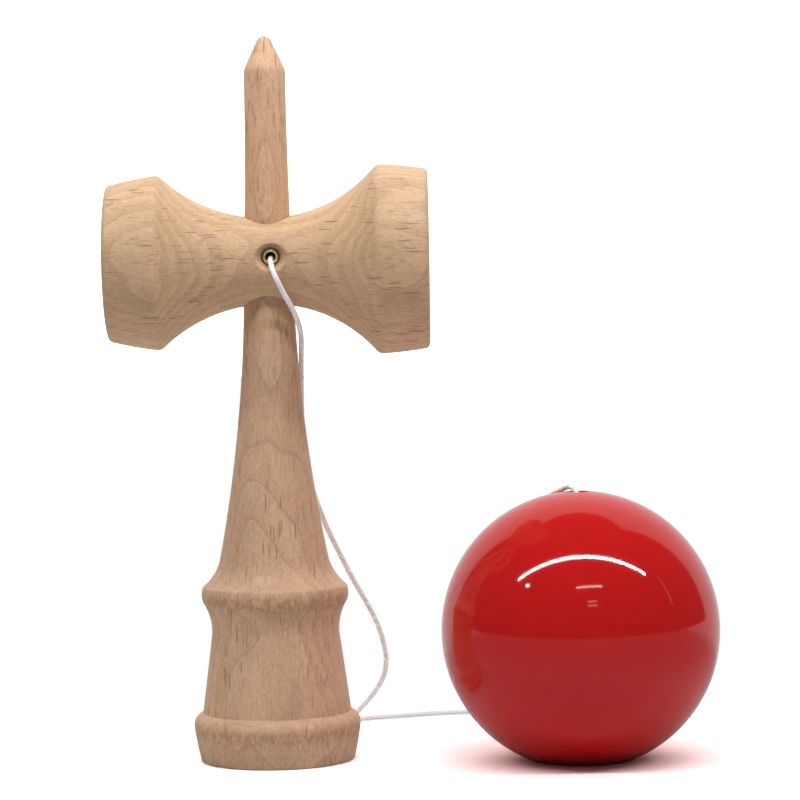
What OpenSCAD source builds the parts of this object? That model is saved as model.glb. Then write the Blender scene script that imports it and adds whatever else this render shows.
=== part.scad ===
// Cup and ball toy: a turned wooden ken with a spike and a base cup, a cross piece with two cups
// that sits on the spike's taper, and a lacquered ball on a string. Millimetres, +Z up, with the
// origin at the middle of the ken's foot. The big cup points along +X and the string hole along -Y.

/* [Ken] */
// Height from the foot to the tip of the spike
ken_h = 157.2; // [145:0.1:175]
// Diameter of the foot ring on the floor
foot_d = 33.6; // [32:0.1:35]
// Rounding of the foot's outer edge
foot_round = 0.5; // [0.2:0.1:1]
// Largest diameter of the base ring
base_d = 36.2; // [35:0.1:40]
// Height of the base ring's largest diameter
base_z = 7.6; // [5:0.1:8.5]
// Height of the crease on top of the base ring
crease_z = 10.6; // [9.5:0.1:12]
// Diameter of the crease on top of the base ring
crease_d = 32.3; // [30:0.1:34]
// Diameter of the waist between base ring and collar
waist_d = 27.7; // [26:0.1:29]
// Height of the waist
waist_z = 27.7; // [22:0.1:30]
// Largest diameter of the collar
collar_d = 31.9; // [31:0.1:35]
// Height of the collar's lower edge
collar_z = 34.6; // [32:0.1:35.5]
// Width of the collar's rounded edge
collar_w = 3.3; // [2.5:0.1:4]
// Diameter of the grip where it flares into the collar
grip_d = 23.8; // [20:0.1:26]
// Height at which the grip flares into the collar
grip_z = 43.5; // [41:0.1:50]
// Depth of the long hollow of the grip
grip_hollow = 1.15; // [0.3:0.05:2]

/* [Spike] */
// Diameter of the spike under the cross piece
seat_d = 11.1; // [10:0.1:12]
// Height of the upper end of the grip, under the cross piece
seat_z = 97.8; // [92:0.1:98]
// Diameter of the spike where it comes out of the cross piece
spike_foot_d = 9.8; // [9.2:0.1:10.4]
// Diameter of the spike at its shoulder
spike_d = 9; // [8:0.1:9.8]
// Depth of the spike's long hollow
spike_hollow = 0.1; // [0.05:0.05:0.3]
// Length of the cone above the shoulder
cone_l = 7.4; // [6:0.1:10]
// Diameter of the blunt end of the cone
tip_d = 3.5; // [2:0.1:5]
// Height of the rounded tip
tip_round = 1.5; // [1:0.1:2]

/* [Cross piece] */
// Height of the cups' common axis
sarado_z = 108.5; // [108:0.1:118]
// Diameter of the neck at the spike
neck_d = 18.7; // [18:0.1:21]
// Diameter of the big cup's ridge
big_ridge_d = 41; // [38:0.1:44]
// Distance of the big cup's ridge from the spike
big_ridge_x = 24.2; // [22:0.1:27]
// Diameter of the big cup's rim
big_rim_d = 39.2; // [37.5:0.1:41]
// Distance of the big cup's rim from the spike
big_end_x = 34.8; // [32:0.1:36]
// Diameter of the big cup's hollow at its mouth
big_hollow_d = 35.4; // [30:0.1:36]
// Depth of the big cup's hollow
big_hollow_t = 8; // [5:0.1:9]
// Diameter of the small cup's ridge
small_ridge_d = 37.8; // [35:0.1:41]
// Distance of the small cup's ridge from the spike
small_ridge_x = 23.8; // [22:0.1:27]
// Diameter of the small cup's rim
small_rim_d = 34.3; // [33:0.1:37]
// Distance of the small cup's rim from the spike
small_end_x = 34.8; // [32:0.1:37]
// Diameter of the small cup's hollow at its mouth
small_hollow_d = 30.8; // [26:0.1:31.5]
// Depth of the small cup's hollow
small_hollow_t = 7; // [5:0.1:9]
// Rounding of the cups' rims
rim_round = 1.2; // [0.4:0.1:1.4]
// Half width of the softened ridge on each cup
ridge_soft = 1.2; // [0.4:0.1:1.5]

/* [Base cup] */
// Diameter of the base cup's hollow at its mouth
base_hollow_d = 30; // [24:0.1:30.5]
// Depth of the base cup's hollow
base_hollow_t = 6.5; // [5:0.1:9]

/* [String hole] */
// Height of the string hole above the cups' axis
hole_rise = 0.9; // [0:0.1:1]
// Distance of the string hole from the spike's axis, towards the big cup
hole_x = 0.8; // [0:0.1:1]
// Diameter of the dish around the string hole
dish_d = 6.9; // [6:0.1:9]
// Depth of the dish
dish_t = 1.9; // [1.2:0.1:1.9]
// Diameter of the recess that the eyelet sits in
recess_d = 4.1; // [4:0.1:5.5]
// Depth of the recess below the neck's surface
recess_t = 2.3; // [2:0.1:2.8]
// Diameter of the eyelet's bore
eyelet_bore_d = 2.2; // [1.8:0.1:2.3]
// Wall of the eyelet's barrel
eyelet_wall = 0.25; // [0.2:0.05:0.4]
// Thickness of the eyelet's rolled lip
lip_t = 0.62; // [0.5:0.02:0.7]
// Diameter of the hole through the spike
ken_hole_d = 2.6; // [2:0.1:3]
// Diameter of the pocket for the knot at the back of the spike
pocket_d = 4.4; // [4:0.1:5]
// Diameter of both knots
knot_d = 3.6; // [3:0.1:3.8]

/* [Ball] */
// Diameter of the ball
ball_d = 60; // [56:0.1:64]
// Distance of the ball from the ken along X
ball_x = 66; // [66:0.1:80]
// Distance of the ball from the ken along Y
ball_y = -7; // [-20:0.1:0]
// Diameter of the bore that takes the spike
bore_d = 21.5; // [18:0.1:22.5]
// Diameter of the bevel around the bore's mouth
bevel_d = 22.6; // [22.2:0.1:27]
// Height of the bore's straight wall above the floor
bore_h = 30; // [24:0.1:31]
// Diameter of the bead's chamber above the bore
chamber_d = 11.2; // [10.4:0.1:13]
// Height of the chamber's straight wall above the floor
chamber_h = 43; // [42:0.1:45]
// Diameter of the string hole in the top
top_hole_d = 4; // [3:0.1:5]
// Diameter of the bead
bead_d = 9; // [8:0.1:9.4]
// Length of the bead between its flat ends
bead_l = 8; // [6:0.1:8.2]
// Diameter of the hole through the bead
bead_hole_d = 2.2; // [1.8:0.1:2.6]

/* [String] */
// Diameter of the string
string_d = 1.25; // [1:0.05:1.3]

/* [Clearances] */
// Radial clearance of the cross piece on the spike's taper
taper_fit = 0.03; // [0.01:0.01:0.1]
// Radial clearance of the eyelet in its hole
eyelet_fit = 0.02; // [0.01:0.01:0.05]
// Gap between the bead and its seat in the ball
bead_fit = 0.3; // [0.1:0.05:0.5]
// Gap between a knot and what it bears on
knot_fit = 0.1; // [0.05:0.05:0.3]

/* [Hidden] */

// Round forms
$fn = 96;
cut = 1;
arc_steps = 8;
half_angle_of_drill = 59;

// How far the middle of each curve of the ken stands off its chord
base_bulge = 0.12;
base_shoulder = 0.65;
collar_flare = 0.55;
collar_bulge = 0.3;
grip_flare = 0.53;
spike_shoulder = 0.07;
tip_dome = 0.35;

// Ken
shoulder_z = ken_h - cone_l;
spike_foot_z = sarado_z + neck_d / 2;
collar_top_z = collar_z + collar_w;
collar_edge_r = collar_d / 2 - collar_bulge;
soft_edge = 0.7;
base_cup_r = cap_radius(base_hollow_d, base_hollow_t);

// Radius at a height on the taper that the cross piece sits on
function taper_r(z) = (seat_d + (spike_foot_d - seat_d) * (z - seat_z) / (spike_foot_z - seat_z)) / 2;

// Radius of the sphere whose cap has this mouth and depth
function cap_radius(mouth_d, depth) = (mouth_d * mouth_d / 4 + depth * depth) / (2 * depth);

// Points after p on an arc to q, whose middle stands off the chord to the left of the way there
function bow(p, q, rise, steps = arc_steps) =
    let (
        span = norm(q - p),
        along = (q - p) / span,
        across = [-along.y, along.x],
        half = 2 * atan(2 * rise / span),
        radius = span / 2 / sin(half)
    )
    [for (i = [1 : steps])
        let (turn = half * (2 * i / steps - 1))
        p + along * (span / 2 + radius * sin(turn)) + across * radius * (cos(turn) - cos(half))];

// Rise of an arc that leaves p along the turning axis and ends at q
function flare_rise(p, q) = norm(q - p) / 2 * tan(atan2(q.x - p.x, q.y - p.y) / 2);

// Rise of a quarter round between p and q
function quarter_rise(p, q) = norm(q - p) / 2 * tan(22.5);

// Outline of the ken as [radius, height], from the foot up to the tip
foot_in = [foot_d / 2 - foot_round, 0];
foot_out = [foot_d / 2, foot_round];
base_wide = [base_d / 2, base_z];
crease = [crease_d / 2, crease_z];
waist = [waist_d / 2, waist_z];
collar_low = [collar_edge_r, collar_z];
collar_high = [collar_edge_r, collar_top_z];
grip_low = [grip_d / 2, grip_z];
grip_high = [seat_d / 2, seat_z];
spike_foot = [spike_foot_d / 2, spike_foot_z];
shoulder_low = [spike_d / 2, shoulder_z - soft_edge];
tip_edge = [tip_d / 2, ken_h - tip_round];
shoulder = [spike_d / 2, shoulder_z];
shoulder_high = shoulder + (tip_edge - shoulder) / norm(tip_edge - shoulder) * soft_edge;
ken_outline = concat(
    [[0, 0], foot_in],
    bow(foot_in, foot_out, -quarter_rise(foot_in, foot_out), 4),
    bow(foot_out, base_wide, -base_bulge, 4),
    bow(base_wide, crease, -base_shoulder),
    [waist],
    bow(waist, collar_low, collar_flare),
    bow(collar_low, collar_high, -collar_bulge),
    bow(collar_high, grip_low, grip_flare),
    bow(grip_low, grip_high, grip_hollow, 2 * arc_steps),
    [spike_foot],
    bow(spike_foot, shoulder_low, spike_hollow),
    bow(shoulder_low, shoulder_high, -spike_shoulder, 4),
    [tip_edge],
    bow(tip_edge, [0, ken_h], -tip_dome)
);

// Cross piece
hole_z = sarado_z + hole_rise;
neck_r = neck_d / 2;
ridge_drop = 0.7 * ridge_soft;
ridge_lead = 0.6 * ridge_soft;
ridge_bulge = 0.25 * ridge_soft;
cup_bulge = 0.12;

// One side of the cross piece as [radius, distance], from the neck out to the axis at the rim
function cup_side(ridge_d, ridge_x, rim_d, end_x) =
    let (
        neck = [neck_r, 0],
        ridge_in = [ridge_d / 2 - ridge_drop, ridge_x - ridge_soft],
        ridge_out = [ridge_d / 2, ridge_x + ridge_lead],
        rim_out = [rim_d / 2, end_x - rim_round],
        rim_in = [rim_d / 2 - rim_round, end_x]
    )
    concat(
        bow(neck, ridge_in, flare_rise(neck, ridge_in), 2 * arc_steps),
        bow(ridge_in, ridge_out, -ridge_bulge, 4),
        bow(ridge_out, rim_out, -cup_bulge, 4),
        bow(rim_out, rim_in, -quarter_rise(rim_out, rim_in), 4),
        [[0, end_x]]
    );
big_side = cup_side(big_ridge_d, big_ridge_x, big_rim_d, big_end_x);
small_side = cup_side(small_ridge_d, small_ridge_x, small_rim_d, small_end_x);
sarado_outline = concat(
    [for (i = [len(small_side) - 1 : -1 : 0]) [small_side[i].x, -small_side[i].y]],
    [[neck_r, 0]],
    big_side
);
big_cup_r = cap_radius(big_hollow_d, big_hollow_t);
small_cup_r = cap_radius(small_hollow_d, small_hollow_t);

// String hole, measured outwards from the spike's axis
recess_y = neck_r - recess_t;
dish_y = neck_r - dish_t;
barrel_r = eyelet_bore_d / 2 + eyelet_wall;
barrel_gap = 0.3;
barrel_end_y = taper_r(hole_z) + barrel_gap;
lip_mid_y = recess_y + lip_t / 2;
lip_mid_r = eyelet_bore_d / 2 + lip_t / 2;
pocket_y = 1.2;
knot_y = pocket_y + knot_fit + knot_d / 2;

// Ball, measured from the floor that it stands on with its bore down
ball_r = ball_d / 2;
ball_z = sqrt(ball_r * ball_r - bevel_d * bevel_d / 4);
bore_end_h = bore_h + (bore_d - chamber_d) / 2 / tan(half_angle_of_drill);
chamber_tip_h = chamber_h + chamber_d / 2 / tan(half_angle_of_drill);
chamber_end_h = chamber_tip_h - top_hole_d / 2 / tan(half_angle_of_drill);
bead_z = chamber_tip_h - (bead_d / 2 + bead_fit) / sin(half_angle_of_drill);
bead_knot_z = bead_z - bead_l / 2 - knot_fit - knot_d / 2;
top_edge = 0.5;
top_z = ball_z + sqrt(ball_r * ball_r - pow(top_hole_d / 2 + top_edge, 2));
bore_outline = [
    [0, -ball_r],
    [bevel_d / 2, -ball_r],
    [bevel_d / 2, 0],
    [bore_d / 2, (bevel_d - bore_d) / 2],
    [bore_d / 2, bore_h],
    [chamber_d / 2, bore_end_h],
    [chamber_d / 2, chamber_h],
    [top_hole_d / 2, chamber_end_h],
    [top_hole_d / 2, top_z - top_edge],
    [top_hole_d / 2 + top_edge, top_z],
    [top_hole_d / 2 + top_edge, top_z + cut],
    [0, top_z + cut]
];

// String: the free route from the eyelet, past the ken and over the floor to the hole in the ball
string_r = string_d / 2;
string_sides = 8;
ring_step = 4.6;
side_hint = [0.3, 0.2, 1];
route = [
    [0.8, -6.4, 109.4], [0.8, -8, 109.1], [0.9, -9.4, 108.2], [1.5, -10.4, 106.4], [3.4, -9, 101.8],
    [5.6, -6.4, 97.4], [6.8, -2.4, 92.8], [6.7, 1.4, 87.6], [6.4, 5.2, 78], [6.8, 11.6, 64.4],
    [10.3, 18.4, 50.9], [15.1, 24.6, 39.6], [23.1, 33.8, 21.3], [23.7, 35.8, 17.2], [23.2, 37.4, 13.2],
    [20.9, 38.8, 9], [17.3, 39.8, 4.8], [13.4, 40.8, 1.6], [9.8, 42.2, 0.7], [7.8, 45.4, 0.7],
    [8.6, 48.8, 0.7], [12.4, 51.2, 0.7], [26.6, 58, 0.7], [42.4, 62.4, 0.7], [71, 64.6, 0.7],
    [79, 58.4, 0.7], [78.4, 50.2, 0.7], [68, 42.4, 0.7], [58.4, 35.8, 0.7], [56.2, 31.6, 0.7],
    [55.4, 27.4, 1.3], [55.2, 24.8, 4.4], [55.2, 22.6, 27.7], [56, 18, 43.3], [58.1, 9.4, 52.8],
    [62.8, -1.3, 57.9], [64.5, -4.4, 58.6], [65.5, -6, 57.7], [66, -7, 55.5], [66, -7, 51.9]
];
floor_start = 18;
rise_start = 29;
route_end = len(route) - 1;
way_out = [0, -1, 0];

function unit(v) = v / norm(v);

// Direction of the route at one of its points, which starts straight out of the eyelet
function heading(i) =
    i == 0 ? way_out :
    i == route_end ? unit(route[i] - route[i - 1]) :
    let (
        before = route[i] - route[i - 1],
        after = route[i + 1] - route[i],
        a = norm(before),
        b = norm(after)
    )
    unit(before / a * b + after / b * a);

// Point on the smooth curve between points i and i + 1 of the route
function on_route(i, t) =
    let (reach = norm(route[i + 1] - route[i]))
    route[i] * (1 + 2 * t) * (1 - t) * (1 - t) + route[i + 1] * t * t * (3 - 2 * t)
    + heading(i) * reach * t * (1 - t) * (1 - t) - heading(i + 1) * reach * t * t * (1 - t);

// Points of one stretch of the route, a ring_step apart or closer
function stretch(first, last) = concat(
    [for (i = [first : last - 1])
        let (parts = max(1, round(norm(route[i + 1] - route[i]) / ring_step)))
        for (k = [0 : parts - 1]) on_route(i, k / parts)],
    [route[last]]
);

// Directions along a row of points, with those of the two ends given
function headings(points, first, last) = [
    for (i = [0 : len(points) - 1])
        i == 0 ? first :
        i == len(points) - 1 ? last :
        unit(points[i + 1] - points[i - 1])
];

// Directions square to each heading that turn as little as they can from one to the next
function sides(ways) = [
    for (i = 0, side = unit(cross(ways[0], side_hint)); i < len(ways);
        i = i + 1, side = i < len(ways) ? unit(side - ways[i] * (side * ways[i])) : side) side
];

// Round tube along a row of points
module tube(points, first, last) {
    ways = headings(points, first, last);
    across = sides(ways);
    rings = len(points);
    n = string_sides;
    corners = [
        for (i = [0 : rings - 1])
            for (k = [0 : n - 1])
                points[i] + string_r * (across[i] * cos(360 * k / n)
                    + cross(ways[i], across[i]) * sin(360 * k / n))
    ];
    walls = [
        for (i = [0 : rings - 2])
            for (k = [0 : n - 1])
                let (a = i * n + k, b = i * n + (k + 1) % n)
                for (face = [[a, a + n, b], [b, a + n, b + n]]) face
    ];
    caps = [
        [for (k = [0 : n - 1]) k],
        [for (k = [n - 1 : -1 : 0]) (rings - 1) * n + k]
    ];
    polyhedron(corners, concat(walls, caps));
}

// One stretch of the string between two points of the route
module string_stretch(first, last) {
    color("whitesmoke")
        tube(stretch(first, last), heading(first), heading(last));
}

// Turns a shape's own axis so that it points out of the string hole, from the spike's axis
module at_string_hole() {
    translate([hole_x, 0, hole_z])
        rotate([90, 0, 0])
            children();
}

module at_ball() {
    translate([ball_x, ball_y, 0])
        children();
}

module ken() {
    color("burlywood")
        difference() {
            rotate_extrude()
                polygon(ken_outline);
            translate([0, 0, base_hollow_t - base_cup_r])
                sphere(base_cup_r);
            at_string_hole() {
                translate([0, 0, -pocket_y - cut])
                    cylinder(h = seat_d, d = ken_hole_d);
                rotate([180, 0, 0])
                    translate([0, 0, pocket_y])
                        cylinder(h = seat_d, d = pocket_d);
            }
        }
}

module sarado() {
    bore_low = seat_z - cut;
    bore_high = sarado_z + neck_r + cut;
    color("tan")
        difference() {
            translate([0, 0, sarado_z])
                rotate([0, 90, 0])
                    rotate_extrude()
                        polygon(sarado_outline);
            translate([big_end_x - big_hollow_t + big_cup_r, 0, sarado_z])
                sphere(big_cup_r);
            translate([small_hollow_t - small_end_x - small_cup_r, 0, sarado_z])
                sphere(small_cup_r);
            translate([0, 0, bore_low])
                cylinder(
                    h = bore_high - bore_low,
                    r1 = taper_r(bore_low) + taper_fit,
                    r2 = taper_r(bore_high) + taper_fit
                );
            at_string_hole() {
                cylinder(h = neck_r, r = barrel_r + eyelet_fit);
                translate([0, 0, recess_y])
                    cylinder(h = neck_r, d = recess_d);
                translate([0, 0, dish_y])
                    cylinder(h = 2 * dish_t, d1 = recess_d, d2 = 2 * dish_d - recess_d);
            }
        }
}

module string_eyelet() {
    color("goldenrod")
        at_string_hole()
            rotate_extrude() {
                translate([eyelet_bore_d / 2, barrel_end_y])
                    square([eyelet_wall, lip_mid_y - barrel_end_y]);
                translate([lip_mid_r, lip_mid_y])
                    circle(d = lip_t, $fn = 48);
            }
}

module ball() {
    color("red")
        at_ball()
            difference() {
                translate([0, 0, ball_z])
                    sphere(ball_r);
                rotate_extrude()
                    polygon(bore_outline);
            }
}

module ball_bead() {
    color("wheat")
        at_ball()
            translate([0, 0, bead_z])
                difference() {
                    intersection() {
                        sphere(d = bead_d);
                        cylinder(h = bead_l, d = bead_d + cut, center = true);
                    }
                    cylinder(h = bead_d, d = bead_hole_d, center = true);
                }
}

module ken_knot() {
    color("whitesmoke")
        at_string_hole()
            translate([0, 0, -knot_y])
                sphere(d = knot_d);
}

module bead_knot() {
    color("whitesmoke")
        at_ball()
            translate([0, 0, bead_knot_z])
                sphere(d = knot_d);
}

module string_ken_run() {
    run_end = taper_r(hole_z) + taper_fit / 2;
    color("whitesmoke")
        at_string_hole()
            translate([0, 0, knot_d / 4 - knot_y])
                cylinder(h = run_end + knot_y - knot_d / 4, d = string_d);
}

module string_eyelet_run() {
    run_start = taper_r(hole_z) + taper_fit / 2;
    color("whitesmoke")
        at_string_hole()
            translate([0, 0, run_start])
                cylinder(h = -route[0].y - run_start, d = string_d);
}

module string_hanging() {
    string_stretch(0, floor_start);
}

module string_floor() {
    string_stretch(floor_start, rise_start);
}

module string_rise() {
    string_stretch(rise_start, route_end);
}

module string_ball_run() {
    run_start = bead_knot_z + knot_d / 4;
    color("whitesmoke")
        at_ball()
            translate([0, 0, run_start])
                cylinder(h = route[route_end].z - run_start, d = string_d);
}

ken();
sarado();
string_eyelet();
ball();
ball_bead();
ken_knot();
bead_knot();
string_ken_run();
string_eyelet_run();
string_hanging();
string_floor();
string_rise();
string_ball_run();
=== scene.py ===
"""Looks of the cup and ball toy: grained beech, brass eyelet, red lacquer and a twisted white string."""

import math

import bpy
import numpy as np
from mathutils import Matrix, Vector


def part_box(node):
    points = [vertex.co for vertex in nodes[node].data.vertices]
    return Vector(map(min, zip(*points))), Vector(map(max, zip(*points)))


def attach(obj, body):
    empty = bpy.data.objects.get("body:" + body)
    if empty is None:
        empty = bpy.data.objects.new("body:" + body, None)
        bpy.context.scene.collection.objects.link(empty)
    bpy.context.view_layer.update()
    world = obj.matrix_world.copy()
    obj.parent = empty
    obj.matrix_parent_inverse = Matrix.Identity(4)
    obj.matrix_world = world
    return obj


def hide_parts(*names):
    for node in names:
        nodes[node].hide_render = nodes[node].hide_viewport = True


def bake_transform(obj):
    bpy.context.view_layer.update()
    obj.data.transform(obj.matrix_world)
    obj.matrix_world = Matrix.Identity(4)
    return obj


MM = 0.001

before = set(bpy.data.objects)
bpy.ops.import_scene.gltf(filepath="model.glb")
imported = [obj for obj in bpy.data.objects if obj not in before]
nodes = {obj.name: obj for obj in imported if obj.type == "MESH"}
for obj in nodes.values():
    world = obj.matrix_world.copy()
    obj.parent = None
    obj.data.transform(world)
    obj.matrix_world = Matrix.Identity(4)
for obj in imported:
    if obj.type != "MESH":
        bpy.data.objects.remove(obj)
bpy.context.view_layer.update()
scene = bpy.context.scene


def middle(node):
    low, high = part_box(node)
    return (low + high) / 2


# Camera: where the photograph was taken from, a little above the cross piece

CAMERA_AT = Vector((28, -688, 107.5)) * MM
CAMERA_LENS = 142.65
CAMERA_SENSOR = 36
CAMERA_PITCH = math.radians(2.47)
CAMERA_ROLL = math.radians(1.08)


def make_camera():
    forward = Vector((0, math.cos(CAMERA_PITCH), -math.sin(CAMERA_PITCH)))
    level = Vector((1, 0, 0))
    upright = level.cross(forward)
    right = math.cos(CAMERA_ROLL) * level - math.sin(CAMERA_ROLL) * upright
    up = math.sin(CAMERA_ROLL) * level + math.cos(CAMERA_ROLL) * upright
    data = bpy.data.cameras.new("camera")
    data.lens = CAMERA_LENS
    data.sensor_width = CAMERA_SENSOR
    camera = bpy.data.objects.new("camera", data)
    turn = Matrix((right, up, -forward)).transposed().to_4x4()
    camera.matrix_world = Matrix.Translation(CAMERA_AT) @ turn
    scene.collection.objects.link(camera)
    scene.camera = camera


# String: the route's points, from the eyelet past the ken and over the floor to the hole in the ball

ROUTE = [
    (0.0008, -0.0064, 0.1091), (0.0008, -0.0079, 0.1086), (0.0010, -0.0093, 0.1076),
    (0.0015, -0.0104, 0.1061), (0.0034, -0.0090, 0.1018), (0.0056, -0.0064, 0.0974),
    (0.0068, -0.0024, 0.0928), (0.0067, 0.0014, 0.0876), (0.0064, 0.0052, 0.0780),
    (0.0068, 0.0116, 0.0644), (0.0103, 0.0184, 0.0509), (0.0151, 0.0246, 0.0396),
    (0.0231, 0.0338, 0.0213), (0.0237, 0.0358, 0.0172), (0.0232, 0.0374, 0.0132),
    (0.0209, 0.0388, 0.0090), (0.0173, 0.0398, 0.0048), (0.0134, 0.0408, 0.0016),
    (0.0098, 0.0422, 0.0007), (0.0078, 0.0454, 0.0007), (0.0086, 0.0488, 0.0007),
    (0.0124, 0.0512, 0.0007), (0.0266, 0.0580, 0.0007), (0.0424, 0.0624, 0.0007),
    (0.0710, 0.0646, 0.0007), (0.0790, 0.0584, 0.0007), (0.0784, 0.0502, 0.0007),
    (0.0680, 0.0424, 0.0007), (0.0584, 0.0358, 0.0007), (0.0562, 0.0316, 0.0007),
    (0.0554, 0.0274, 0.0013), (0.0552, 0.0248, 0.0044), (0.0552, 0.0226, 0.0277),
    (0.0560, 0.0180, 0.0433), (0.0581, 0.0094, 0.0528), (0.0628, -0.0013, 0.0579),
    (0.0645, -0.0044, 0.0586), (0.0655, -0.0060, 0.0577), (0.0660, -0.0070, 0.0555),
    (0.0660, -0.0070, 0.0519),
]
FLOOR_START = 18
RISE_START = 29
STRING_D = 1.25 * MM
TWIST_PITCH = 3.4 * MM
STRANDS = 3
STRAND_DEPTH = 0.14
RING_CORNERS = 18
RING_STEP = 0.4 * MM
RING_TILT = (0.3, 0.2, 1.0)
KNOT_RINGS = 120
EYELET_LAP = 0.4 * MM
KEN_RUN_RINGS = 30
KEN_RUN_PAST = 0.5 * MM
SLACK_RINGS = 7
SLACK_HALF = 0.1 * MM


def smooth_line(points):
    """Points along the smooth curve through the given ones, and the place of each given point among them."""
    points = np.array(points, float)
    reach = np.linalg.norm(np.diff(points, axis=0), axis=1)
    ways = np.diff(points, axis=0) / reach[:, None]
    headings = np.vstack([ways[:1], ways[:-1] * reach[1:, None] + ways[1:] * reach[:-1, None], ways[-1:]])
    headings /= np.linalg.norm(headings, axis=1)[:, None]
    line, places = [], []
    for i, length in enumerate(reach):
        places.append(len(line))
        parts = max(1, round(length / RING_STEP))
        for t in np.arange(parts) / parts:
            line.append(
                points[i] * (1 + 2 * t) * (1 - t) ** 2 + points[i + 1] * t * t * (3 - 2 * t)
                + headings[i] * length * t * (1 - t) ** 2 - headings[i + 1] * length * t * t * (1 - t)
            )
    places.append(len(line))
    return np.vstack([line, points[-1:]]), places


def twisted_rings(line):
    """Corners of a ring at each point of the line, with the lobes of a cord laid from a few strands."""
    ways = np.gradient(line, axis=0)
    ways /= np.linalg.norm(ways, axis=1)[:, None]
    travelled = np.r_[0, np.cumsum(np.linalg.norm(np.diff(line, axis=0), axis=1))]
    around = np.arange(RING_CORNERS) * 2 * math.pi / RING_CORNERS
    lobe = 1 - STRAND_DEPTH * (1 - np.abs(np.cos(STRANDS / 2 * around)))
    side = np.cross(ways[0], RING_TILT)
    rings = []
    for point, way, length in zip(line, ways, travelled):
        side = side - way * (side @ way)
        side /= np.linalg.norm(side)
        angle = around + 2 * math.pi * length / TWIST_PITCH
        out = np.outer(np.cos(angle), side) + np.outer(np.sin(angle), np.cross(way, side))
        rings.append(point + out * (STRING_D / 2 * lobe)[:, None])
    return rings


def rope(name, rings):
    """A closed mesh through a row of rings."""
    n = RING_CORNERS
    faces = [
        (i * n + k, i * n + (k + 1) % n, (i + 1) * n + (k + 1) % n, (i + 1) * n + k)
        for i in range(len(rings) - 1)
        for k in range(n)
    ]
    last = (len(rings) - 1) * n
    faces += [tuple(range(n - 1, -1, -1)), tuple(range(last, last + n))]
    mesh = bpy.data.meshes.new(name)
    mesh.from_pydata(np.vstack(rings).tolist(), [], faces)
    mesh.polygons.foreach_set("use_smooth", [len(f) == 4 for f in faces])
    mesh.materials.append(string_material)
    piece = bpy.data.objects.new(name, mesh)
    scene.collection.objects.link(piece)
    return piece


def knot(name, node, axis_turn):
    """A tight overhand knot in the place of a knot's solid."""
    low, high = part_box(node)
    radius = (high.x - low.x) / 2
    turn = np.arange(KNOT_RINGS) * 2 * math.pi / KNOT_RINGS
    reach = (radius - STRING_D / 2) / 3
    loop = reach * np.column_stack([
        np.sin(turn) + 2 * np.sin(2 * turn),
        np.cos(turn) - 2 * np.cos(2 * turn),
        -2 * np.sin(3 * turn),
    ])
    line = loop @ np.array(axis_turn).T + np.array(middle(node))
    return rope(name, twisted_rings(np.vstack([line, line[:1]])))


def make_string():
    """The string in pieces, some of them going with the ken or the bead that they lie in or on."""
    _, eyelet_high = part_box("string_eyelet_run")
    ken_low, ken_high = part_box("string_ken_run")
    ball_low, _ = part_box("string_ball_run")
    out_of_ken = Vector(ROUTE[0])
    out_of_ken.y = eyelet_high.y - EYELET_LAP
    under_bead = Vector(ROUTE[-1])
    under_bead.z = ball_low.z
    line, places = smooth_line([out_of_ken, *ROUTE, under_bead])
    rings = twisted_rings(line)
    floor_at, rise_at, ball_at = places[FLOOR_START + 1], places[RISE_START + 1], places[-2]

    def stretch(name, first, last):
        return rope(name, rings[first:last + 1]), line[first:last + 1]

    hanging, hanging_line = stretch("string_hanging_cord", 0, floor_at)
    floor, floor_line = stretch("string_floor_cord", floor_at, rise_at)
    rise, rise_line = stretch("string_rise_cord", rise_at, ball_at)
    in_ball, _ = stretch("string_in_ball", ball_at, len(line) - 1)
    x, z = out_of_ken.x, out_of_ken.z
    through = np.linspace((x, ken_high.y, z), (x, ken_low.y - KEN_RUN_PAST, z), KEN_RUN_RINGS)
    in_ken = rope("string_in_ken", twisted_rings(through))
    slack = np.linspace((x, ken_low.y, z - SLACK_HALF), (x, ken_low.y, z + SLACK_HALF), SLACK_RINGS)
    riser = rope("string_in_spike_hole", twisted_rings(slack))
    ken_knot = knot("string_ken_knot", "ken_knot", Matrix.Rotation(math.pi / 2, 3, "X"))
    bead_knot = knot("string_bead_knot", "bead_knot", Matrix.Identity(3))

    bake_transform(hanging)
    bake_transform(rise)
    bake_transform(riser)
    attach(floor, "ken")
    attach(in_ken, "ken")
    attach(ken_knot, "ken")
    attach(in_ball, "bead")
    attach(bead_knot, "bead")

    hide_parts("string_hanging", "string_eyelet_run")
    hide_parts("string_floor")
    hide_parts("string_rise")
    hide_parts("string_ball_run")
    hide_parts("string_ken_run")
    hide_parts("ken_knot")
    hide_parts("bead_knot")


# Materials: helpers that add nodes, then one function for each material


def new_material(name, grain=2):
    """A material whose grain runs along an axis of the object: 0 for X, 1 for Y, 2 for Z."""
    material = bpy.data.materials.new(name)
    material.use_nodes = True
    tree = material.node_tree
    tree["grain"] = grain
    return material, tree, tree.nodes["Principled BSDF"]


def fill(tree, socket, value):
    if isinstance(value, bpy.types.NodeSocket):
        tree.links.new(value, socket)
    else:
        socket.default_value = value


def add(tree, kind, settings=None, **inputs):
    """A new node. An input named in the call is set, or linked where a socket is given."""
    made = tree.nodes.new("ShaderNode" + kind)
    for name, value in (settings or {}).items():
        setattr(made, name, value)
    for name, value in inputs.items():
        fill(tree, made.inputs[name.replace("_", " ")], value)
    return made


def calc(tree, operation, *values):
    made = add(tree, "Math", {"operation": operation})
    for socket, value in zip(made.inputs, values):
        fill(tree, socket, value)
    return made.outputs[0]


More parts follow.
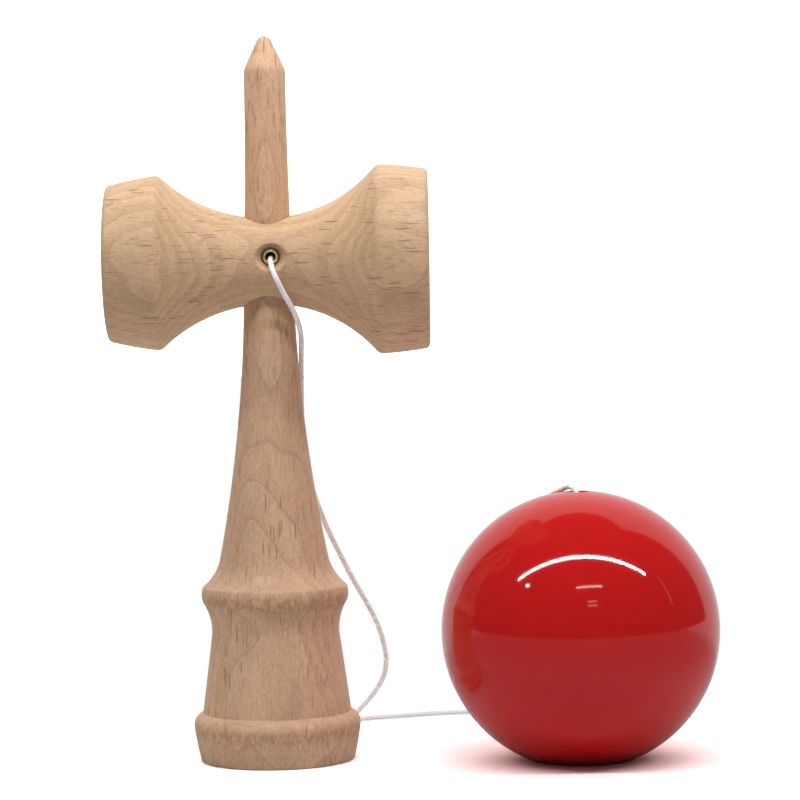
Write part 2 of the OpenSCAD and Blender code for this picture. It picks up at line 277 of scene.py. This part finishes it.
def vector_calc(tree, operation, first, second=None):
    """A sum with vectors. LENGTH and DISTANCE give a number, and SCALE takes one."""
    made = add(tree, "VectorMath", {"operation": operation})
    fill(tree, made.inputs[0], first)
    if second is not None:
        fill(tree, made.inputs["Scale"] if operation == "SCALE" else made.inputs[1], second)
    return made.outputs["Value"] if operation in ("LENGTH", "DISTANCE") else made.outputs[0]


def smooth_step(tree, value, low, high, to_low=0.0, to_high=1.0):
    made = add(tree, "MapRange", {"interpolation_type": "SMOOTHSTEP"}, Value=value)
    for name, limit in zip(("From Min", "From Max", "To Min", "To Max"), (low, high, to_low, to_high)):
        made.inputs[name].default_value = limit
    return made.outputs["Result"]


def hump(tree, value, rise, fall):
    """1 between a rise and a fall, and 0 before and after them."""
    return calc(tree, "MULTIPLY", smooth_step(tree, value, *rise), smooth_step(tree, value, *fall, 1.0, 0.0))


def mix_colour(tree, share, one, other):
    made = add(tree, "Mix", {"data_type": "RGBA"})
    for socket, value in zip((made.inputs[0], made.inputs[6], made.inputs[7]), (share, one, other)):
        fill(tree, socket, value)
    return made.outputs[2]


def mix_value(tree, share, one, other):
    made = add(tree, "Mix")
    for socket, value in zip((made.inputs[0], made.inputs[2], made.inputs[3]), (share, one, other)):
        fill(tree, socket, value)
    return made.outputs[0]


def shade(colour, tones):
    return [tone * part for tone, part in zip(tones, colour)] + [1]


def here(tree):
    return add(tree, "TexCoord").outputs["Object"]


def stretched(tree, across, along, deep=None):
    """Object coordinates in cells sized in millimetres: across the grain, along it and, on Y, inwards."""
    cell = [across, deep or across, across]
    cell[tree["grain"]] = along
    mapping = add(tree, "Mapping", Vector=here(tree), Scale=[1 / (size * MM) for size in cell])
    return mapping.outputs["Vector"]


def noise(tree, across, along, detail, roughness=0.5):
    """Cloudy noise, with features of so many millimetres across the grain and along it."""
    cells = stretched(tree, across, along)
    made = add(tree, "TexNoise", Vector=cells, Scale=1.0, Detail=detail, Roughness=roughness)
    return made.outputs["Fac"]


# Wood: the figure's sizes are in millimetres, across the grain and along it

DRIFT = (4.4, 14)
FIBRE = (0.1, 1.8)
STREAK = (0.48, 12)
MOTTLE = (0.38, 1.1)
RUBBED = (0.8, 1.6)
WAVER = (11, 26)
WAVER_RINGS = 3.0
FIGURE_DETAIL = 3.0
FIGURE_ROUGHNESS = 0.55
FINE_FLECK = (0.4, 4.5)
FINE_FLECK_SHARE = 0.65
FLECK_DEPTH = 9
FLECK_WIDTH = (0.0, 1.0, 0.136, 0.34)
FLECK_DARKNESS = (0.1, 0.9, 0.3, 1.0)
FLECK_EDGE = (0.6, 1.0, 1.0, 0.0)
FLECK_SHARE = 0.7

# Each step has the two ends of a range, and where it has two more, what they turn into: a share or a tone

LATE_RISE, LATE_FALL = (0.2, 0.8), (0.84, 1.0)
LINE_RISE, LINE_FALL = (0.86, 0.95), (0.95, 1.0)
RAY_STEP = (0.15, 0.55, 0.25, 1.0)
DRIFT_STEP = (0.3, 0.7)
STREAK_STEP = (0.35, 0.75, 0.0, 0.35)
FIBRE_STEP = (0.4, 0.8, 0.0, 0.3)
MOTTLE_STEP = (0.34, 0.66, 1.07, 0.91)
RUBBED_STEP = (0.42, 0.62, 0.05, 0.8)
RUBBED_CORE = 0.2
ROUGHNESS_STEP = (0.3, 0.8, 0.52, 0.68)
# The reach and tone of the painted shade that darkens the wood round the eyelet
DISH_SHADE_STEP = (1.8 * MM, 4.2 * MM, 0.62, 1.0)

LINE_TONE = (0.7, 0.7, 0.7)
FLECK_TONE = (0.34, 0.34, 0.34)
RUBBED_TONE = (0.82, 0.68, 0.64)
WOOD_SPECULAR = 0.35
FIBRE_RELIEF = 0.25
RELIEF_STRENGTH = 0.35
RELIEF_DEPTH = 0.06 * MM
EDGE_WEAR = 0.5 * MM
EDGE_SAMPLES = 6


def figure(tree, size, detail=FIGURE_DETAIL):
    return noise(tree, *size, detail=detail, roughness=FIGURE_ROUGHNESS)


def growth(tree, pith, ring_w):
    """How far a place is through its year's ring, from 0 to 1 on the way out from the pith."""
    across_grain = [0.0 if axis == tree["grain"] else 1.0 for axis in range(3)]
    from_pith = vector_calc(tree, "MULTIPLY", vector_calc(tree, "SUBTRACT", here(tree), pith), across_grain)
    rings = calc(tree, "DIVIDE", vector_calc(tree, "LENGTH", from_pith), ring_w * MM)
    waver = calc(tree, "MULTIPLY", figure(tree, WAVER, detail=0.0), WAVER_RINGS)
    return calc(tree, "FRACT", calc(tree, "ADD", rings, waver))


def flecks(tree, across, along):
    """Short dark rays, one to a cell, of chance width and darkness."""
    rays = stretched(tree, across, along, FLECK_DEPTH)
    cells = add(tree, "TexVoronoi", Vector=rays, Scale=1.0, Randomness=1.0)
    chance = add(tree, "SeparateColor", Color=cells.outputs["Color"])
    width = smooth_step(tree, chance.outputs["Red"], *FLECK_WIDTH)
    edge = calc(tree, "DIVIDE", cells.outputs["Distance"], width)
    darkness = smooth_step(tree, chance.outputs["Green"], *FLECK_DARKNESS)
    return calc(tree, "MULTIPLY", smooth_step(tree, edge, *FLECK_EDGE), darkness)


def pores(tree, fleck):
    """Large and fine flecks, faint on the sides, where the rays lie along the surface."""
    fine = calc(tree, "MULTIPLY", flecks(tree, *FINE_FLECK), FINE_FLECK_SHARE)
    both = calc(tree, "MAXIMUM", flecks(tree, *fleck), fine)
    facing = add(tree, "SeparateXYZ", Vector=add(tree, "TexCoord").outputs["Normal"]).outputs["Y"]
    return calc(tree, "MULTIPLY", both, smooth_step(tree, calc(tree, "ABSOLUTE", facing), *RAY_STEP))


def wood(name, grain, pith, pale, brown, ring_w, fleck, band, line, painted_top_light=None, painted_shade_at=None, burnished=()):
    """Turned beech. grain is the axis that the fibres run along, and pith a point on the heart of the tree.

    ring_w is the width of a year's ring and fleck the size of a fleck's cell, in millimetres. band and line
    are the strength of the late wood and of the line at its end. The last three give two heights and the
    tones there, a painted light that makes the wood lighter towards the top; the middle of a painted shade
    in the dish round the eyelet; and the heights and half widths of edges rubbed brown.
    """
    material, tree, shader = new_material(name, grain)
    place = here(tree)
    height = add(tree, "SeparateXYZ", Vector=place).outputs["Z"]
    fibre = figure(tree, FIBRE)
    year = growth(tree, pith, ring_w)
    dark = pores(tree, fleck)

    half_brown = [0.5 * (a + b) for a, b in zip(pale, brown)]
    colour = mix_colour(tree, smooth_step(tree, figure(tree, DRIFT), *DRIFT_STEP), pale, half_brown)
    late = hump(tree, year, LATE_RISE, LATE_FALL)
    colour = mix_colour(tree, calc(tree, "MULTIPLY", late, band), colour, brown)
    late_end = hump(tree, year, LINE_RISE, LINE_FALL)
    colour = mix_colour(tree, calc(tree, "MULTIPLY", late_end, line), colour, shade(brown, LINE_TONE))
    colour = mix_colour(tree, smooth_step(tree, figure(tree, STREAK), *STREAK_STEP), colour, brown)
    colour = mix_colour(tree, smooth_step(tree, fibre, *FIBRE_STEP), colour, brown)
    colour = mix_colour(tree, calc(tree, "MULTIPLY", dark, FLECK_SHARE), colour, shade(brown, FLECK_TONE))
    mottle = smooth_step(tree, figure(tree, MOTTLE, detail=2.0), *MOTTLE_STEP)
    colour = vector_calc(tree, "SCALE", colour, mottle)
    for level, half in burnished:
        off = calc(tree, "ABSOLUTE", calc(tree, "SUBTRACT", height, level))
        edge = smooth_step(tree, off, RUBBED_CORE * half, half, 1.0, 0.0)
        patches = smooth_step(tree, figure(tree, RUBBED), *RUBBED_STEP)
        colour = mix_colour(tree, calc(tree, "MULTIPLY", edge, patches), colour, shade(brown, RUBBED_TONE))
    # Painted light: the wood is made lighter towards the top, where the lamps above light it most.
    if painted_top_light:
        colour = vector_calc(tree, "SCALE", colour, smooth_step(tree, height, *painted_top_light))
    # Painted shade: the wood darkens round the eyelet and a little above it, where the dish's upper wall is
    # shaded.
    if painted_shade_at:
        dish_shade = smooth_step(tree, vector_calc(tree, "DISTANCE", place, painted_shade_at), *DISH_SHADE_STEP)
        colour = vector_calc(tree, "SCALE", colour, dish_shade)
    fill(tree, shader.inputs["Base Color"], colour)
    fill(tree, shader.inputs["Roughness"], smooth_step(tree, fibre, *ROUGHNESS_STEP))
    shader.inputs["Specular IOR Level"].default_value = WOOD_SPECULAR

    relief = calc(tree, "SUBTRACT", calc(tree, "MULTIPLY", fibre, FIBRE_RELIEF), dark)
    eased = add(tree, "Bevel", {"samples": EDGE_SAMPLES}, Radius=EDGE_WEAR).outputs["Normal"]
    bump = add(tree, "Bump", Height=relief, Strength=RELIEF_STRENGTH, Distance=RELIEF_DEPTH, Normal=eased)
    fill(tree, shader.inputs["Normal"], bump.outputs["Normal"])
    return material


# Lacquer, brass and string: sizes of noise in millimetres, and each colour as the two ends of a drift

REDS = (0.465, 0.0055, 0.006, 1), (0.515, 0.0075, 0.007, 1)
BORE_WOODS = (0.58, 0.38, 0.23, 1), (0.43, 0.26, 0.15, 1)
BORE_R = 10.9 * MM
BORE_TOP = 26 * MM
BRUSH = 0.6
BRUSH_RAGGED = -5 * MM
BRUSH_END = (-25 * MM, -24 * MM)
RED_DRIFT = 3.2
GLOSS_ROUGHNESS = 0.06
BARE_ROUGHNESS = 0.55
PEEL = 0.32
BRASSES = (0.98, 0.88, 0.48, 1), (0.80, 0.66, 0.28, 1)
TARNISH = 0.12
TARNISH_STEP = (0.4, 0.75)
BRASS_ROUGHNESS = (0.3, 0.8, 0.24, 0.36)
WHITES = (0.95, 0.935, 0.90, 1), (0.99, 0.98, 0.95, 1)
FLUFF = (0.044, 0.08)
FLUFF_STEP = (0.3, 0.75)
STRING_ROUGHNESS = (0.3, 0.7, 0.8, 0.95)


def lacquer():
    """Gloss red over the ball's outside, and bare wood in its bore where the brush didn't reach."""
    material, tree, shader = new_material("red_lacquer")
    from_middle = vector_calc(tree, "SUBTRACT", here(tree), middle("ball"))
    off = add(tree, "SeparateXYZ", Vector=from_middle).outputs
    squares = [calc(tree, "POWER", off[axis], 2.0) for axis in "XY"]
    radius = calc(tree, "SQRT", calc(tree, "ADD", *squares))
    in_bore = calc(tree, "LESS_THAN", radius, BORE_R)
    under_top = calc(tree, "LESS_THAN", off["Z"], BORE_TOP)
    inside = calc(tree, "MULTIPLY", in_bore, under_top)
    ragged = calc(tree, "MULTIPLY", noise(tree, BRUSH, BRUSH, detail=2.0), BRUSH_RAGGED)
    past_brush = smooth_step(tree, calc(tree, "ADD", off["Z"], ragged), *BRUSH_END)
    bare = calc(tree, "MULTIPLY", inside, past_brush)
    bore_wood = mix_colour(tree, noise(tree, *FIBRE, detail=3.0), *BORE_WOODS)
    red = mix_colour(tree, noise(tree, RED_DRIFT, RED_DRIFT, detail=2.0), *REDS)
    fill(tree, shader.inputs["Base Color"], mix_colour(tree, bare, red, bore_wood))
    roughness = calc(tree, "ADD", calc(tree, "MULTIPLY", bare, BARE_ROUGHNESS), GLOSS_ROUGHNESS)
    fill(tree, shader.inputs["Roughness"], roughness)
    peel = noise(tree, PEEL, PEEL, detail=1.0)
    bump = add(tree, "Bump", Height=peel, Strength=0.05, Distance=0.02 * MM)
    fill(tree, shader.inputs["Normal"], bump.outputs["Normal"])
    return material


def brass():
    material, tree, shader = new_material("brass")
    tarnish = noise(tree, TARNISH, TARNISH, detail=4.0)
    colour = mix_colour(tree, smooth_step(tree, tarnish, *TARNISH_STEP), *BRASSES)
    fill(tree, shader.inputs["Base Color"], colour)
    shader.inputs["Metallic"].default_value = 1
    fill(tree, shader.inputs["Roughness"], smooth_step(tree, tarnish, *BRASS_ROUGHNESS))
    return material


def cord_fibre():
    material, tree, shader = new_material("string")
    fluff = noise(tree, *FLUFF, detail=3.0, roughness=0.6)
    colour = mix_colour(tree, smooth_step(tree, fluff, *FLUFF_STEP), *WHITES)
    fill(tree, shader.inputs["Base Color"], colour)
    fill(tree, shader.inputs["Roughness"], smooth_step(tree, fluff, *STRING_ROUGHNESS))
    shader.inputs["Subsurface Weight"].default_value = 1
    shader.inputs["Subsurface Radius"].default_value = (1, 1, 1)
    shader.inputs["Subsurface Scale"].default_value = 1 * MM
    shader.inputs["Sheen Weight"].default_value = 0.8
    shader.inputs["Sheen Roughness"].default_value = 0.6
    bump = add(tree, "Bump", Height=fluff, Strength=0.2, Distance=0.08 * MM)
    fill(tree, shader.inputs["Normal"], bump.outputs["Normal"])
    return material


# Turned pieces: the solids' bands are joined and shaded smooth, up to the angle of a real edge

EDGE_ANGLE = math.radians(24)
JOIN_REACH = 0.002 * MM


def turned_smooth():
    group = bpy.data.node_groups.new("turned_smooth", "GeometryNodeTree")
    group.interface.new_socket("Geometry", in_out="INPUT", socket_type="NodeSocketGeometry")
    group.interface.new_socket("Geometry", in_out="OUTPUT", socket_type="NodeSocketGeometry")
    start, end = group.nodes.new("NodeGroupInput"), group.nodes.new("NodeGroupOutput")
    merge = group.nodes.new("GeometryNodeMergeByDistance")
    merge.inputs["Distance"].default_value = JOIN_REACH
    bare = group.nodes.new("GeometryNodeRemoveAttribute")
    bare.inputs["Name"].default_value = "custom_normal"
    round_faces = group.nodes.new("GeometryNodeSetShadeSmooth")
    edges = group.nodes.new("GeometryNodeSetShadeSmooth")
    edges.domain = "EDGE"
    angle = group.nodes.new("GeometryNodeInputMeshEdgeAngle")
    soft = group.nodes.new("FunctionNodeCompare")
    soft.operation = "LESS_THAN"
    soft.inputs["B"].default_value = EDGE_ANGLE
    join = group.links.new
    join(start.outputs[0], merge.inputs["Geometry"])
    join(merge.outputs["Geometry"], bare.inputs["Geometry"])
    join(bare.outputs["Geometry"], round_faces.inputs["Geometry"])
    join(round_faces.outputs["Geometry"], edges.inputs["Geometry"])
    join(angle.outputs["Unsigned Angle"], soft.inputs["A"])
    join(soft.outputs["Result"], edges.inputs["Shade Smooth"])
    join(edges.outputs["Geometry"], end.inputs[0])
    return group


def dress(node, material, smooth=None):
    piece = nodes[node]
    piece.material_slots[0].material = material
    if smooth:
        piece.modifiers.new("turned_smooth", "NODES").node_group = smooth


# Stage: a white sheet under the toy, lamps above it and a white backdrop far behind

SHEET_HALF = 2.4
SHEET_EXPOSED = (1.25, 1.3)
# What the sheet throws back on the toy: lighter near it and darker far off, a painted pool of lamp light
SHEET_BOUNCE = 0.78
SHEET_BOUNCE_FAR = 0.46
SHEET_SPREAD = (0.06, 0.2)
SHEET_MIRRORED = 0.38
SHEET_BEHIND = (0.04, 0.14)
SHEET_MIDDLE = (0.05, 0, 0)
SHEET_FADE = (0.05, 0.13)
PAPER_GRAIN = 400.0
# How far from the ball's foot the camera sees the sheet tinted red, and the tint: painted bounce light from
# the ball
RED_BOUNCE_REACH = (0.028, 0.05)
RED_BOUNCE_TONE = 0.84
LAMP_AT = Vector((-0.006, -0.195, 0.45))
LAMP_YAW = math.radians(2.4)
LAMP_SIZE = (1.037, 0.026)
LAMP_POWER = 3.25
CEILING_AT = (0.03, 0.1, 0.9)
CEILING_SIZE = (0.7, 0.7)
CEILING_POWER = 2.2
GLINT_REACH = 1.5
GLINTS = [
    ((-0.666, -0.433, 0.607), (0.06, 0.06), 0.5),
    ((0.081, -0.746, 0.661), (0.52, 0.04), 0.7),
    ((0.122, -0.866, 0.485), (0.19, 0.03), 0.06),
    ((0.122, -0.892, 0.435), (0.19, 0.03), 0.06),
    ((0.897, -0.122, 0.412), (0.02, 0.5), 0.04),
]
BACKDROP_LIGHT = 1.9
BACKDROP = 0.75
BACKDROP_TURN = 0.08
BACKDROP_SIDES = (0.58, 0.65)
BACKDROP_TOP = (0.86, 0.89)
ROOM = 0.11


def make_sheet():
    """Overexposed to the camera, so that only deep shadow shows, and grey in the light it throws back."""
    half = SHEET_HALF
    corners = [(-half, -half, 0), (half, -half, 0), (half, half, 0), (-half, half, 0)]
    mesh = bpy.data.meshes.new("sheet")
    mesh.from_pydata(corners, [], [(0, 1, 2, 3)])
    sheet = bpy.data.objects.new("sheet", mesh)
    scene.collection.objects.link(sheet)
    material, tree, _ = new_material("sheet")
    mesh.materials.append(material)
    place = here(tree)
    path = add(tree, "LightPath").outputs
    camera_ray, glossy_ray = path["Is Camera Ray"], path["Is Glossy Ray"]
    far = vector_calc(tree, "DISTANCE", place, SHEET_MIDDLE)
    depth = add(tree, "SeparateXYZ", Vector=place).outputs["Y"]
    mirror_tone = smooth_step(tree, depth, *SHEET_BEHIND, SHEET_MIRRORED, BACKDROP)
    # Painted light: the sheet throws back more near the toy than far off, as a pool of lamp light.
    bounce = smooth_step(tree, far, *SHEET_SPREAD, SHEET_BOUNCE, SHEET_BOUNCE_FAR)
    bounce = mix_value(tree, glossy_ray, bounce, mirror_tone)
    paper = add(tree, "TexNoise", Vector=place, Scale=PAPER_GRAIN, Detail=2.0).outputs["Fac"]
    white = smooth_step(tree, paper, 0.0, 1.0, *SHEET_EXPOSED)
    ball = middle("ball")
    from_ball = vector_calc(tree, "DISTANCE", place, (ball.x, ball.y, 0))
    # Painted light: near the ball's foot the camera sees the sheet tinted red, as light thrown back from the
    # red ball.
    painted_red_bounce = calc(tree, "MULTIPLY", white, smooth_step(tree, from_ball, *RED_BOUNCE_REACH, RED_BOUNCE_TONE))
    red = mix_value(tree, camera_ray, bounce, white)
    rest = mix_value(tree, camera_ray, bounce, painted_red_bounce)
    colour = add(tree, "CombineColor", Red=red, Green=rest, Blue=rest).outputs[0]
    glow = mix_value(tree, camera_ray, mirror_tone, 1.0)
    direct = calc(tree, "MAXIMUM", camera_ray, glossy_ray)
    whole = add(tree, "MixShader", Fac=calc(tree, "MULTIPLY", direct, smooth_step(tree, far, *SHEET_FADE)))
    fill(tree, whole.inputs[1], add(tree, "BsdfDiffuse", Color=colour).outputs[0])
    fill(tree, whole.inputs[2], add(tree, "Emission", Strength=glow).outputs[0])
    fill(tree, tree.nodes["Material Output"].inputs["Surface"], whole.outputs[0])


def make_world():
    world = bpy.data.worlds.new("world")
    world.use_nodes = True
    scene.world = world
    tree = world.node_tree
    way = add(tree, "SeparateXYZ", Vector=add(tree, "TexCoord").outputs["Generated"])
    x, y, z = (way.outputs[name] for name in "XYZ")
    level = calc(tree, "SQRT", calc(tree, "ADD", calc(tree, "POWER", x, 2.0), calc(tree, "POWER", y, 2.0)))
    facing = calc(tree, "ADD", y, calc(tree, "MULTIPLY", x, BACKDROP_TURN))
    behind = smooth_step(tree, calc(tree, "DIVIDE", facing, level), *BACKDROP_SIDES)
    below_top = smooth_step(tree, z, *BACKDROP_TOP, 1.0, 0.0)
    share = calc(tree, "MULTIPLY", behind, below_top)
    path = add(tree, "LightPath").outputs
    tone = mix_value(tree, path["Is Glossy Ray"], BACKDROP_LIGHT, BACKDROP)
    strength = mix_value(tree, share, ROOM, tone)
    background = tree.nodes["Background"]
    background.inputs["Color"].default_value = (1, 1, 1, 1)
    fill(tree, background.inputs["Strength"], calc(tree, "MAXIMUM", strength, path["Is Camera Ray"]))


def area_lamp(name, at, turn, size, power):
    data = bpy.data.lights.new(name, "AREA")
    data.shape = "RECTANGLE"
    data.size, data.size_y = size
    data.energy = power
    lamp = bpy.data.objects.new(name, data)
    lamp.location = at
    lamp.rotation_euler = turn.to_euler()
    lamp.visible_camera = False
    scene.collection.objects.link(lamp)
    return lamp


def aimed(way):
    return way.to_track_quat("-Z", "Y").to_matrix()


def make_lamps():
    """A strip and a ceiling that light the toy, and small lamps that show only as reflections."""
    ball = middle("ball")
    strip_turn = Matrix.Rotation(LAMP_YAW, 3, "Z") @ aimed(-LAMP_AT)
    area_lamp("strip", ball + LAMP_AT, strip_turn, LAMP_SIZE, LAMP_POWER)
    ceiling = area_lamp("ceiling", CEILING_AT, Matrix.Identity(3), CEILING_SIZE, CEILING_POWER)
    ceiling.visible_glossy = False
    for i, (way, size, power) in enumerate(GLINTS):
        way = Vector(way)
        glint = area_lamp(f"glint_{i}", ball + GLINT_REACH * way, aimed(-way), size, power)
        glint.visible_diffuse = False


scene.view_settings.view_transform = "Standard"
make_camera()
string_material = cord_fibre()
make_string()
smooth = turned_smooth()
# The ken's wood is made lighter towards the spike and darker towards the foot: painted light.
ken_wood = wood(
    "beech_ken", grain=2, pith=(5 * MM, 60 * MM, 0), pale=(0.65, 0.412, 0.262, 1),
    brown=(0.505, 0.30, 0.18, 1), ring_w=2.5, fleck=(0.56, 8), band=0.34, line=0.46,
    painted_top_light=(0.1, 0.152, 0.97, 1.2), burnished=[(35.3 * MM, 2.6 * MM), (6.8 * MM, 2.2 * MM)],
)
# The sarado's wood darkens round the eyelet: painted shade in the countersunk dish.
sarado_wood = wood(
    "beech_sarado", grain=0, pith=(0, 62 * MM, 106 * MM), pale=(0.665, 0.438, 0.262, 1),
    brown=(0.525, 0.33, 0.19, 1), ring_w=2.5, fleck=(0.58, 8), band=0.62, line=0.38,
    painted_shade_at=Vector(ROUTE[0]) + Vector((0, 0, 0.8 * MM)),
)
bead_wood = wood(
    "bead_wood", grain=2, pith=(90 * MM, 0, 0), pale=(0.55, 0.37, 0.225, 1),
    brown=(0.42, 0.25, 0.14, 1), ring_w=1.5, fleck=(0.4, 8), band=0.5, line=0.25,
)
dress("ken", ken_wood, smooth)
dress("sarado", sarado_wood, smooth)
dress("ball_bead", bead_wood)
dress("ball", lacquer())
dress("string_eyelet", brass())
make_sheet()
make_world()
make_lamps()
